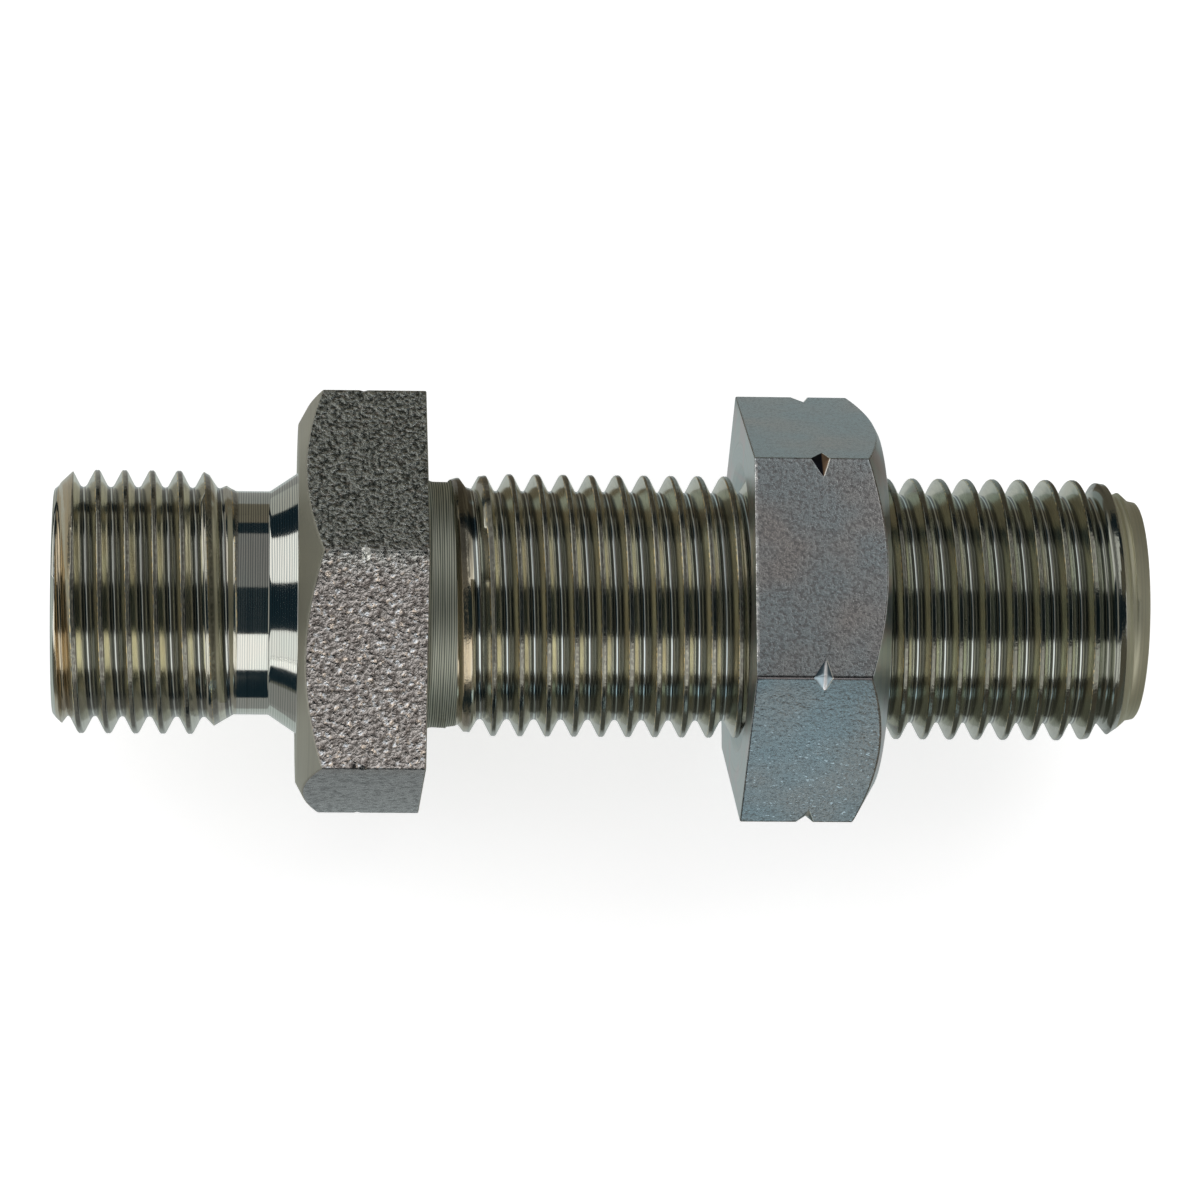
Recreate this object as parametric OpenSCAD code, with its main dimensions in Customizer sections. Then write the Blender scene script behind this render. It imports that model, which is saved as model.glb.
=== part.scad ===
// Bulkhead union with its lock nut, millimetres.
//
// A turned steel fitting that carries a hydraulic line through a panel. The short end takes one
// hose or pipe, the long end goes through the panel, and the lock nut clamps the panel against
// the hexagon. Both ends have the same parallel pipe thread, outside diameter 13 mm and 19 turns
// to the inch, and a cone inside the mouth on which the hose end seals.
//
// The axis lies along X. The origin is the centre of the hexagon's clamping face, the long end
// points along +X, and +Z is up with the fitting lying on its side.
//
// The thread is a true right-hand helix. It is one skin of flat facets between helical lines, and it
// fades into the plain stretches beside it where the real thread runs out.

/* [Thread] */
// Outside diameter over the crests
thread_d = 13; // [12.7:0.1:13.2]
// Distance from one crest to the next
pitch = 1.337; // [1.1:0.001:1.5]
// Angle between the two flanks
flank_angle = 55; // [50:1:60]

/* [Port end] */
// Length from the hexagon to the port end
port_len = 11.95; // [10:0.05:20]
// Diameter at the very end, before the first turn
port_end_d = 11.12; // [10.8:0.02:11.6]
// Length of the lead-in chamfer at the port end
port_lead = 1; // [0.6:0.1:1.5]
// Distance from the port end to the first crest, on the +Y side
port_first_crest = 0.71; // [0.3:0.01:1.3]
// Diameter of the plain neck beside the hexagon
neck_d = 11.02; // [10.4:0.02:11.2]
// Length of the plain neck
neck_len = 1.7; // [1:0.1:3]
// Length over which the thread runs out into the neck
neck_runout = 1.65; // [1:0.05:2.5]
// Length of the cone from the neck to the hexagon
hub_cone_len = 1.37; // [0.8:0.01:2]
// Diameter of that cone where it meets the hexagon
hub_cone_d = 12.86; // [12:0.02:14.5]

/* [Hexagon] */
// Width across the flats of the hexagon
hex_af = 18.9; // [17:0.1:22]
// Length of the hexagon along the axis
hex_len = 6.2; // [5:0.1:10]
// Diameter of the round face left by the corner chamfer
hex_face_d = 17.8; // [16:0.1:18.4]
// Angle of the corner chamfer from the face
hex_chamfer_angle = 30; // [20:1:35]
// Turn of the hexagon about the axis
hex_turn = 1.5; // [0:0.5:59.5]
// Depth of the nick across each corner
nick_depth = 0.08; // [0.05:0.01:0.2]
// Width of that nick at the corner
nick_w = 0.7; // [0.4:0.1:1.2]
// Distance of the nick from the clamping face
nick_at = 3.06; // [2:0.02:4]

/* [Bulkhead end] */
// Length from the clamping face to the bulkhead end
shank_len = 35.43; // [30:0.01:60]
// Diameter of the plain shank beside the clamping face
shank_d = 12.14; // [11.9:0.02:12.4]
// Radius of the fillet between the clamping face and the plain shank
shank_fillet = 0.5; // [0.45:0.05:0.8]
// Length of that plain shank
shank_plain = 1.05; // [0.8:0.05:2]
// Distance from the clamping face to the first crest, on the +Y side
shank_first_crest = 1.498; // [1.2:0.002:2.2]
// Length over which the thread rises to its full diameter
shank_run_in = 2.4; // [1.5:0.1:4]
// Diameter where the end's taper stops and the plain tip starts
tip_root_d = 10.94; // [10.8:0.02:11.2]
// Diameter at the very tip
tip_d = 10.8; // [10.4:0.02:10.8]
// Length of the plain tip
tip_len = 0.45; // [0.2:0.05:1]
// Length of the steep part of the end's taper
taper_steep = 1; // [0.6:0.05:1.5]
// Length of the shallow part of the end's taper
taper_shallow = 1.4; // [0.8:0.1:2.5]
// Diameter where the steep and the shallow parts meet
taper_mid_d = 12.44; // [12:0.02:12.6]

/* [Bore] */
// Diameter of the bore right through
bore_d = 6; // [4:0.1:7]
// Diameter of the cone seat at each mouth
seat_mouth_d = 9.2; // [8:0.1:9.8]
// Full angle of the cone seats
seat_angle = 60; // [50:1:75]

/* [Lock nut] */
// Width across the flats of the lock nut
nut_af = 18.7; // [17:0.1:22]
// Length of the lock nut along the axis
nut_len = 6.65; // [5:0.05:8]
// Distance of the lock nut from the hexagon, where the panel goes
panel_gap = 15.65; // [4:0.05:22]
// Turn of the lock nut about the axis
nut_turn = 30; // [0:1:59]
// Diameter of the round face left by the nut's corner chamfer
nut_face_d = 17.8; // [16:0.1:18.2]
// Angle of that chamfer from the face
nut_chamfer_angle = 30; // [20:1:35]
// Diameter of the countersinks at the two mouths of the nut
nut_sink_d = 14.4; // [13.8:0.1:15.5]
// Width of the notch across each corner of the nut
notch_w = 1.3; // [0.8:0.1:2]
// Depth of that notch at the corner
notch_depth = 0.31; // [0.1:0.01:0.5]
// Distance of the notch from the nut's clamping face
notch_at = 3.14; // [2.5:0.02:4]
// Running clearance of the nut over the thread's crests, on the radius
nut_clearance = 0.08; // [0.02:0.01:0.1]

/* [Hidden] */

smooth = 96;
past = 1;

thread_r = thread_d / 2;
// Depth of the thread, two thirds of the sharp triangle between two flanks
thread_depth = pitch / tan(flank_angle / 2) / 3;
// Width of the crest and of the root, the sixth that is taken off each end of that triangle
crest_w = pitch / 6;
// The section over one turn, from the near edge of a crest, as [along, depth]
form = [
    [-crest_w / 2, 0],
    [crest_w / 2, 0],
    [pitch / 2 - crest_w / 2, thread_depth],
    [pitch / 2 + crest_w / 2, thread_depth]
];
// Facets to a turn
steps = 32;
// Least distance of a helical line from the end of its stretch
line_gap = 0.05;
// Step by which a thread's end face lies inside the plain stretch that it meets
inset = 0.01;
// Steps in the fillet's arc
fillet_steps = 5;
// Depth of the bar inside the threads below the lowest surface that covers it
core_gap = 0.3;

hex_x = -hex_len;
port_x = hex_x - port_len;
cone_x = hex_x - hub_cone_len;
neck_x = cone_x - neck_len;
runout_x = neck_x - neck_runout;
tip_x = shank_len - tip_len;
mid_x = tip_x - taper_steep;
taper_x = mid_x - taper_shallow;
seat_depth = (seat_mouth_d - bore_d) / 2 / tan(seat_angle / 2);
// Radius of the bar inside both threads, the neck and the tip
core_r = min(thread_r - thread_depth, neck_d / 2, tip_d / 2) - core_gap;

// The radius over the crests along each threaded stretch, as [along, radius]
port_crests = [
    [port_x, port_end_d / 2],
    [port_x + port_lead, thread_r],
    [runout_x, thread_r],
    [neck_x, neck_d / 2]
];
shank_crests = [
    [shank_plain, shank_d / 2],
    [shank_plain + shank_run_in, thread_r],
    [taper_x, thread_r],
    [mid_x, taper_mid_d / 2],
    [tip_x, tip_root_d / 2]
];
// The radius at the roots, which the port thread has in full and the shank's reaches by degrees
port_roots = [[port_x, thread_r - thread_depth]];
shank_roots = [
    [shank_plain, shank_d / 2],
    [shank_plain + shank_run_in, thread_r - thread_depth]
];

// Turns a profile given as [along, radius] round the X axis
module turned() {
    rotate([0, 90, 0])
        rotate_extrude($fn = smooth)
            mirror([1, -1])
                children();
}

// A hexagonal bar from x to x + len, with a corner pointing up before it is turned
module hex_bar(af, x, len, turn_deg) {
    translate([x, 0, 0])
        rotate([-turn_deg, 0, 0])
            rotate([0, 90, 0])
                cylinder(h = len, d = af / cos(30), $fn = 6);
}

// Everything inside one corner chamfer: a cone that opens from face_d at x, towards dir
module chamfer_blank(face_d, angle, af, x, dir, len) {
    corner_r = af / cos(30) / 2 + past;
    run = (corner_r - face_d / 2) * tan(angle);
    turned()
        polygon([
            [x, 0],
            [x, face_d / 2],
            [x + dir * run, corner_r],
            [x + dir * (len + past), corner_r],
            [x + dir * (len + past), 0]
        ]);
}

// A shallow V turned round the corners of a hexagonal bar
module corner_groove(af, x, w, depth) {
    corner_r = af / cos(30) / 2;
    slope = w / 2 / depth;
    turned()
        polygon([
            [x, corner_r - depth],
            [x + slope * (depth + past), corner_r + past],
            [x - slope * (depth + past), corner_r + past]
        ]);
}

// A threaded stretch, solid to the axis. Its skin is a grid: steps columns round the axis, and four
// helical lines to a turn, each of them a pitch further along when it has gone round once. A line
// lies at the section's own radius, but never above crests or below roots. The first line starts
// beside the flat face at one end, the last ends beside the other, and a fan closes each of the two
// steps of one pitch that this leaves.
module threaded(crests, roots, first) {
    lines = len(form);
    from = crests[0][0];
    to = crests[len(crests) - 1][0];
    start = first + pitch * ceil((from + line_gap + crest_w / 2 - first) / pitch);
    function along(i, j) = start + (floor(i / lines) + j / steps) * pitch + form[i % lines][0];
    function skin_r(x, depth) =
        max(min(thread_r - depth, lookup(x, crests)), min(lookup(x, roots), lookup(x, crests)));
    function at(x, r, j) = [x, r * cos(360 * j / steps), r * sin(360 * j / steps)];
    function line_point(i, j) = at(along(i, j), skin_r(along(i, j), form[i % lines][1]), j);
    far = steps - 1;
    top = len([for (i = [0 : ceil((to - from) / pitch) * lines]) if (along(i, far) < to - line_gap) i]) - 1;
    round = [0 : far];
    points = concat(
        [for (i = [0 : top]) for (j = round) line_point(i, j)],
        [for (j = round) at(from, lookup(from, crests) - inset, j)],
        [for (j = round) at(to, lookup(to, crests) - inset, j)],
        [[from, 0, 0], [to, 0, 0]]
    );
    near_ring = (top + 1) * steps;
    far_ring = near_ring + steps;
    near_centre = far_ring + steps;
    far_centre = near_centre + 1;
    function p(i, j) = j < steps ? i * steps + j : (i + lines) * steps + j - steps;
    function n(j) = near_ring + j % steps;
    function f(j) = far_ring + j % steps;
    faces = concat(
        [for (i = [0 : top - 1]) for (j = round) if (j < far || i + 1 + lines <= top)
            each [[p(i, j), p(i + 1, j + 1), p(i, j + 1)], [p(i, j), p(i + 1, j), p(i + 1, j + 1)]]],
        [for (j = [0 : far - 1])
            each [[n(j), p(0, j + 1), n(j + 1)], [n(j), p(0, j), p(0, j + 1)]]],
        [[n(far), p(0, far), n(0)], [n(0), p(0, far), p(0, 0)]],
        [for (i = [0 : lines - 1]) [p(0, far), p(i + 1, 0), p(i, 0)]],
        [for (j = [0 : far - 1])
            each [[p(top, j), f(j + 1), p(top, j + 1)], [p(top, j), f(j), f(j + 1)]]],
        [[p(top, far), f(far), f(0)], [p(top, far), f(0), p(top, 0)]],
        [for (i = [top - lines : top - 1]) [p(i, far), p(i + 1, far), p(top, 0)]],
        [for (j = round)
            each [[near_centre, n(j), n(j + 1)], [far_centre, f(j + 1), f(j)]]]
    );
    polyhedron(points, faces);
}

// The bar inside, which joins the stretches for any length of the two ends
module core() {
    turned()
        polygon([
            [port_x + port_lead, 0],
            [port_x + port_lead, core_r],
            [shank_len - tip_len / 2, core_r],
            [shank_len - tip_len / 2, 0]
        ]);
}

// The plain neck, the cone, the bar inside the hexagon, the fillet and the plain shank. The first
// step of the fillet is carried on into the hexagon, so that the two cross at the clamping face.
module plain_middle() {
    fillet = [
        for (k = [0 : fillet_steps])
            let (turn = 90 * k / fillet_steps)
                [shank_fillet * (1 - cos(turn)), shank_d / 2 + shank_fillet * (1 - sin(turn))]
    ];
    turned()
        polygon(concat(
            [
                [neck_x, 0],
                [neck_x, neck_d / 2],
                [cone_x, neck_d / 2],
                [hex_x, hub_cone_d / 2],
                5 * fillet[0] - 4 * fillet[1]
            ],
            [for (k = [1 : fillet_steps]) fillet[k]],
            [[shank_plain, shank_d / 2], [shank_plain, 0]]
        ));
}

// The plain tip at the bulkhead end
module tip() {
    turned()
        polygon([
            [tip_x, 0],
            [tip_x, tip_root_d / 2],
            [shank_len, tip_d / 2],
            [shank_len, 0]
        ]);
}

// The hexagon with one corner chamfer, towards the port end, and a nick across each corner
module hexagon() {
    difference() {
        intersection() {
            hex_bar(hex_af, hex_x, hex_len, hex_turn);
            chamfer_blank(hex_face_d, hex_chamfer_angle, hex_af, hex_x, 1, hex_len);
        }
        corner_groove(hex_af, -nick_at, nick_w, nick_depth);
    }
}

// The bore with its two cone seats
module fluid_way() {
    turned()
        polygon([
            [port_x - past, 0],
            [port_x - past, seat_mouth_d / 2],
            [port_x, seat_mouth_d / 2],
            [port_x + seat_depth, bore_d / 2],
            [shank_len - seat_depth, bore_d / 2],
            [shank_len, seat_mouth_d / 2],
            [shank_len + past, seat_mouth_d / 2],
            [shank_len + past, 0]
        ]);
}

// The one turned piece: port thread, neck, hexagon and long threaded shank
module union_body() {
    color([0.55, 0.55, 0.48])
        difference() {
            union() {
                core();
                threaded(port_crests, port_roots, port_x + port_first_crest);
                plain_middle();
                hexagon();
                threaded(shank_crests, shank_roots, shank_first_crest);
                tip();
            }
            fluid_way();
        }
}

// The nut that clamps the panel, one corner chamfer on the side away from the panel
module lock_nut() {
    nut_end = panel_gap + nut_len;
    hole_r = thread_r + nut_clearance;
    sink_r = nut_sink_d / 2;
    sink = sink_r - hole_r;
    color([0.58, 0.62, 0.64])
        difference() {
            intersection() {
                hex_bar(nut_af, panel_gap, nut_len, nut_turn);
                chamfer_blank(nut_face_d, nut_chamfer_angle, nut_af, nut_end, -1, nut_len);
            }
            corner_groove(nut_af, panel_gap + notch_at, notch_w, notch_depth);
            turned()
                polygon([
                    [panel_gap - past, 0],
                    [panel_gap - past, sink_r],
                    [panel_gap, sink_r],
                    [panel_gap + sink, hole_r],
                    [nut_end - sink, hole_r],
                    [nut_end, sink_r],
                    [nut_end + past, sink_r],
                    [nut_end + past, 0]
                ]);
        }
}

union_body();
lock_nut();
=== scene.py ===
"""Looks of a plated steel bulkhead union and its lock nut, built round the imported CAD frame.

Sizes on the union itself are in millimetres, as on its drawing, and MM turns them into metres where
a mesh is made. The axis lies along X, the clamping face of the hexagon is at X = 0, and +Z is up.
Phases are in degrees round the axis, from +Y towards +Z.
"""

import math

import bpy
import numpy as np
from mathutils import Matrix, Vector


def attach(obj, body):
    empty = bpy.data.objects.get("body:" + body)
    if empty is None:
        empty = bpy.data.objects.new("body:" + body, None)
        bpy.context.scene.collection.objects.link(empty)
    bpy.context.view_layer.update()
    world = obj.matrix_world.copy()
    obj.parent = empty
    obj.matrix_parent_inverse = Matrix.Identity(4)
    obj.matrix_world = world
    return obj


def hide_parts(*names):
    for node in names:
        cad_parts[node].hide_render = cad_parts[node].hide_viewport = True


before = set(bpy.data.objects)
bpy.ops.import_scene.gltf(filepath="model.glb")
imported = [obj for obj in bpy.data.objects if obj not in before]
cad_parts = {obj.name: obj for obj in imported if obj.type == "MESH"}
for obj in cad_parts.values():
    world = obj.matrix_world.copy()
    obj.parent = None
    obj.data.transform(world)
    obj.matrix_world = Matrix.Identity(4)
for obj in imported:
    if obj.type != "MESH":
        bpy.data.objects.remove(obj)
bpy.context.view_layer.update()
scene = bpy.context.scene
scene.view_settings.view_transform = "Standard"


# The camera looks down on the fitting, 12 degrees off the vertical, from 265 mm away, square to the
# axis but for a few degrees. It was fitted to the corners of both hexagons and the crests.
MM = 0.001
LEAN = math.radians(11.98)
SWING = math.radians(3.903)
ROLL = math.radians(0.526)
CAMERA_AT = (8.784, 0.219, 265.28)
FOCAL_LENGTH = 160.97
towards = Vector((0, -math.sin(LEAN), math.cos(LEAN)))
upwards = Vector((0, math.cos(LEAN), math.sin(LEAN)))
along = Vector((1, 0, 0))
level = along * math.cos(SWING) + towards * math.sin(SWING)
back = towards * math.cos(SWING) - along * math.sin(SWING)
right = level * math.cos(ROLL) + upwards * math.sin(ROLL)
above = upwards * math.cos(ROLL) - level * math.sin(ROLL)
place = (right * CAMERA_AT[0] + above * CAMERA_AT[1] + back * CAMERA_AT[2]) * MM
camera = bpy.data.objects.new("camera", bpy.data.cameras.new("camera"))
camera.data.lens = FOCAL_LENGTH
camera.data.sensor_width = 36
camera.data.clip_start = 0.01
camera.data.clip_end = 50
camera.matrix_world = Matrix.Translation(place) @ Matrix((right, above, back)).transposed().to_4x4()
scene.collection.objects.link(camera)
scene.camera = camera


# The floor is a sheet of white board under the lowest corner of the hexagon. It takes the fitting's
# soft shadow, and part of its white is its own light, so that the board is white up to its edges.
FLOOR_Z = -10.95
FLOOR_HALF = 1500
BOARD_COLOUR = (0.86, 0.86, 0.86, 1)
BOARD_GLOW = 0.55


def feed(material, node, inputs):
    """Sets a node's inputs from a table by their names or numbers. Each is a value, or the output of
    another node that is linked to it."""
    for name, value in inputs.items():
        if isinstance(value, bpy.types.NodeSocket):
            material.node_tree.links.new(value, node.inputs[name])
        else:
            node.inputs[name].default_value = value


def new_node(material, kind, **inputs):
    """A node of that kind, with its inputs set by name. A name's underscores stand for spaces."""
    node = material.node_tree.nodes.new(kind)
    feed(material, node, {name.replace("_", " "): value for name, value in inputs.items()})
    return node


def calc(material, operation, *values):
    """What a Math node makes of numbers and of other nodes' outputs."""
    node = material.node_tree.nodes.new("ShaderNodeMath")
    node.operation = operation
    feed(material, node, dict(enumerate(values)))
    return node.outputs[0]


def seen_directly(material):
    """1 for rays from the camera, a mirror or through glass, and 0 for the light that falls on things."""
    rays = new_node(material, "ShaderNodeLightPath").outputs
    seen = calc(material, "MAXIMUM", rays["Is Camera Ray"], rays["Is Glossy Ray"])
    return calc(material, "MAXIMUM", seen, rays["Is Transmission Ray"])


board = bpy.data.materials.new("white_board")
board.use_nodes = True
board.node_tree.nodes.clear()
matt = new_node(board, "ShaderNodeBsdfDiffuse", Color=BOARD_COLOUR)
glow_level = calc(board, "MULTIPLY", seen_directly(board), BOARD_GLOW)
glow = new_node(board, "ShaderNodeEmission", Color=(1, 1, 1, 1), Strength=glow_level)
both = new_node(board, "ShaderNodeAddShader")
feed(board, both, {0: matt.outputs[0], 1: glow.outputs[0]})
new_node(board, "ShaderNodeOutputMaterial", Surface=both.outputs[0])

floor_mesh = bpy.data.meshes.new("floor")
floor_signs = ((-1, -1), (1, -1), (1, 1), (-1, 1))
floor_corners = [Vector((x * FLOOR_HALF, y * FLOOR_HALF, FLOOR_Z)) * MM for x, y in floor_signs]
floor_mesh.from_pydata(floor_corners, [], [(0, 1, 2, 3)])
floor_mesh.materials.append(board)
floor = bpy.data.objects.new("floor", floor_mesh)
scene.collection.objects.link(floor)


# The room is plain white, and dimmer as light than it looks, so that the lamps give the fitting its
# form. World strength 1 is what the camera and the metal see.
ROOM_LIGHT = 0.45
room = bpy.data.worlds.new("room")
scene.world = room
room.use_nodes = True
room.node_tree.nodes.clear()
room_level = new_node(room, "ShaderNodeMapRange", Value=seen_directly(room), To_Min=ROOM_LIGHT)
room_white = new_node(room, "ShaderNodeBackground", Color=(1, 1, 1, 1), Strength=room_level.outputs[0])
new_node(room, "ShaderNodeOutputWorld", Surface=room_white.outputs[0])


# Soft boxes hang over the fitting on both sides, parallel to its axis. Navy, olive and brown card hangs
# in the gaps between them and lies on the table, and gives the turned steel its dark and light bands.
TENT = 1000  # distance of the boxes and the card from the axis
BACK_GAP = 2  # how much further out a box's black back hangs
BACK_MARGIN = 1  # and how many degrees wider it is on each side
TABLE_Z = FLOOR_Z + 0.1
NAVY = (0.009, 0.02, 0.028)
OLIVE = (0.38, 0.375, 0.35)
DEEP_OLIVE = (0.3, 0.295, 0.27)
BROWN = (0.15, 0.135, 0.105)


def panel_corners(low, high, start, end, distance=TENT):
    """Corners of a flat panel parallel to the axis. It spans two angles, from straight up towards +Y,
    and two tilts along X from square to the axis, and its middle faces the axis at that distance."""
    middle = math.radians((low + high) / 2)
    half = math.radians((high - low) / 2)
    out = Vector((0, math.sin(middle), math.cos(middle))) * distance
    across = Vector((0, math.cos(middle), -math.sin(middle))) * distance * math.tan(half)
    x_start = distance * math.tan(math.radians(start))
    x_end = distance * math.tan(math.radians(end))
    return [
        out + across * side + Vector((x, 0, 0))
        for side, x in ((-1, x_start), (-1, x_end), (1, x_end), (1, x_start))
    ]


def card(name, corners, colour):
    """A sheet of card that only mirrors see, of the colour that they see."""
    paint = bpy.data.materials.new(name)
    paint.use_nodes = True
    paint.node_tree.nodes.clear()
    look = new_node(paint, "ShaderNodeEmission", Color=(*colour, 1))
    new_node(paint, "ShaderNodeOutputMaterial", Surface=look.outputs[0])
    mesh = bpy.data.meshes.new(name)
    mesh.from_pydata([Vector(corner) * MM for corner in corners], [], [(0, 1, 2, 3)])
    mesh.materials.append(paint)
    sheet = bpy.data.objects.new(name, mesh)
    sheet.visible_camera = False
    sheet.visible_diffuse = False
    sheet.visible_transmission = False
    sheet.visible_volume_scatter = False
    sheet.visible_shadow = False
    scene.collection.objects.link(sheet)


def soft_box(name, low, high, start, end, level):
    """An area lamp over such a panel, with a black back. Level is how bright it looks in a mirror."""
    corners = panel_corners(low, high, start, end)
    lamp = bpy.data.lights.new(name, "AREA")
    lamp.shape = "RECTANGLE"
    lamp.size = (corners[1] - corners[0]).length * MM
    lamp.size_y = (corners[2] - corners[1]).length * MM
    lamp.energy = level * math.pi * lamp.size * lamp.size_y
    side = (corners[1] - corners[0]).normalized()
    out = sum(corners, Vector()) / 4
    facing = Vector((0, out.y, out.z)).normalized()
    box = bpy.data.objects.new(name, lamp)
    turned = Matrix((side, facing.cross(side), facing)).transposed().to_4x4()
    box.matrix_world = Matrix.Translation(out * MM) @ turned
    box.visible_camera = False
    scene.collection.objects.link(box)
    back = (low - BACK_MARGIN, high + BACK_MARGIN, start - BACK_MARGIN, end + BACK_MARGIN)
    card(name + "_back", panel_corners(*back, TENT + BACK_GAP), (0, 0, 0))


# Each box by its angles, its tilts and its level, then each card by its angles, its tilts and its colour
boxes = [
    ("far_left", 20, 80, -70, -25, 1.1),
    ("far_strip", 4, 64, -25, -2.5, 0.38),
    ("far_middle", 4, 64, -2.5, 11.5, 0.2),
    ("far_right", 9, 60, 11.5, 40, 0.95),
    ("near_left", -90, -55, -70, -25, 0.95),
    ("near_strip", -85, -44, -25, -2.5, 0.38),
    ("near_right", -85, -44, -2.5, 40, 1.15),
]
for name, low, high, start, end, brightness in boxes:
    soft_box("box_" + name, low, high, start, end, brightness)
hanging = [
    ("over_left", -54, 19, -75, -25, NAVY),
    ("over_strip", -43, 4, -25, -2.5, OLIVE),
    ("over_middle", -43, 4, -2.5, 11.5, NAVY),
    ("over_right", -43, 9, 11.5, 75, NAVY),
    ("far_left", 80, 96, -75, -25, NAVY),
    ("far_strip", 64, 96, -25, -2.5, OLIVE),
    ("far_low", 64, 79, -2.5, 11.5, NAVY),
    ("far_foot", 79, 96, -2.5, 11.5, BROWN),
    ("far_low_right", 60, 96, 11.5, 75, NAVY),
    ("near_low_strip", -96, -85, -25, -2.5, OLIVE),
    ("near_low", -96, -85, -2.5, 21, NAVY),
    ("near_low_right", -96, -85, 21, 75, BROWN),
    ("far_right", 9, 60, 40, 75, BROWN),
    ("near_right", -85, -44, 40, 75, BROWN),
]
for name, low, high, start, end, colour in hanging:
    card("card_" + name, panel_corners(low, high, start, end), colour)

# The cards on the table, by where they start and end along X and along Y
table = [
    ("far_grey", -1500, -14, 13, 50, (0.42, 0.425, 0.4)),
    ("far_navy", -1500, -14, 50, 1500, NAVY),
    ("far_brown", -14, 1500, 40, 1500, BROWN),
    ("far_strip_neck", -14, 0, 13, 40, (0.3, 0.3, 0.29)),
    ("far_strip_shank", 0, 12, 13, 40, BROWN),
    ("far_strip_nut", 12, 32, 13, 40, (0.33, 0.38, 0.38)),
    ("far_strip_right", 32, 1500, 13, 40, BROWN),
    # Painted shade: the grey card under the fitting stands in, for mirrors, for the board in the fitting's
    # shadow
    ("under", -1500, 1500, -11.3, 13, (0.47, 0.51, 0.5)),
    ("near_strip_left", -80, -30, -30, -11.3, (0.11, 0.115, 0.1)),
    ("near_strip_port", -30, -14, -34, -11.3, (0.25, 0.255, 0.25)),
    ("near_navy_neck", -14, 3, -34, -22, NAVY),
    ("near_strip_neck", -14, 3, -22, -11.3, (0.28, 0.285, 0.28)),
    ("near_strip_right", 3, 1500, -34, -11.3, (0.14, 0.145, 0.125)),
    ("near_olive", -80, -11, -250, -92, DEEP_OLIVE),
    ("near_olive_port", -45, -11, -92, -50, DEEP_OLIVE),
    ("near_olive_neck", -30, -11, -50, -34, DEEP_OLIVE),
    ("near_navy_cone", -92, -45, -92, -30, NAVY),
    ("near_navy_cone_foot", -45, -30, -50, -30, NAVY),
    ("near_navy_left", -11, 12, -250, -34, NAVY),
    ("near_olive_far", -450, -25, -1500, -250, DEEP_OLIVE),
    ("near_navy_far", -25, 12, -1500, -250, NAVY),
    ("near_blue", 12, 32, -80, -34, (0.46, 0.6, 0.66)),
    ("near_navy_nut", 12, 32, -1500, -80, NAVY),
    ("near_brown_right", 32, 1500, -1500, -34, BROWN),
]
for name, x0, x1, y0, y1, colour in table:
    corners = [(x0, y0, TABLE_Z), (x1, y0, TABLE_Z), (x1, y1, TABLE_Z), (x0, y1, TABLE_Z)]
    card("table_" + name, corners, colour)


# The union's body is one piece of free-cutting steel, turned from hexagon bar. Its threads are
# rolled, so their crests are rounded, and the whole piece is plated with zinc, faintly olive.
PITCH = 1.337
THREAD_R = 6.5
THREAD_DEPTH = 0.856
FLANK = math.radians(27.5)
ROUNDING = 0.184  # radius of crest and root
HALF_ARC = ROUNDING * math.cos(FLANK)  # half the width of that rounding along the axis
ARC_DEPTH = ROUNDING * (1 - math.sin(FLANK))
SEAM_DEPTH = 0.03  # fold that rolling leaves along the middle of each crest
SEAM_HALF = 0.05

PORT_X = -18.15
PORT_R = 5.56
NECK_X = -9.27
NECK_R = 5.51
CONE_X = -7.57
HEX_X = -6.2
CONE_R = 6.43
HEX_FLATS = 18.9
HEX_CORNER = 88.5  # phase of the top corner
HEX_ROUNDING = 0.2  # radius of its corners
HEX_FACE_R = 8.9
CHAMFER = math.tan(math.radians(30))
NICK_X = -3.06
NICK_HALF = 0.3
NICK_DEPTH = 0.13
NICK_TAPER = 0.94  # part of its width that a nick loses by its ends
FILLET = 0.5
SHANK_R = 6.07
SHANK_X = 1.05
RUN_IN_END = 1.45  # the long thread is dull before this
TAPER_START = 34.05  # and after this
TIP_X = 34.98
END_X = 35.43
TIP_R = 5.4
BORE_R = 3.0
SEAT_R = 4.6
SEAT_DEPTH = (SEAT_R - BORE_R) / math.tan(math.radians(30))
EDGE = 0.05  # width of the worn edge round the hexagon and the nut
BESIDE_EDGE = 0.08  # a second line there keeps the face beside the edge flat in the shading

PORT_CREST = PORT_X + 2.0465  # a crest of the port thread, at phase 0
SHANK_CREST = 2.8345  # a crest of the long thread, at phase 0

# Places of the grid's lines in one pitch, closer together over the crest and the root
CREST_LINES = np.array([-0.165, -0.11, -0.05, 0, 0.05, 0.11, 0.165])
ROOT_LINES = PITCH / 2 + np.array([-0.165, -0.09, 0, 0.09, 0.165])
LINES = np.concatenate([CREST_LINES, ROOT_LINES])


def column_phases(corner, steps):
    """Phases of the grid's columns in degrees, once round and back to the first. The first column is
    at the lowest corner of the hexagon, and each sixth of the turn has the same steps from a corner."""
    sixths = np.arange(6)[:, None] * 60 + np.asarray(steps)[None, :]
    return corner + 180 + np.append(sixths.ravel(), 360)


def hexagon_radius(phase, flats, corner, rounding):
    """Distance from the axis to the sides of a hexagon with rounded corners. On a side it is half the
    width across the flats over the cosine of the angle from the side's middle. At a corner it is the
    distance to a circle that touches both sides."""
    turn = np.abs(np.radians((phase - corner + 30) % 60 - 30))
    side = flats / 2 / np.cos(math.radians(30) - turn)
    middle = (flats / 2 - rounding) / math.cos(math.radians(30))
    off = np.minimum(middle * np.sin(turn), rounding / 2)
    round_part = middle * np.cos(turn) + np.sqrt(rounding**2 - off**2)
    return np.where(middle * np.sin(turn) < rounding / 2, round_part, side)


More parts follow.
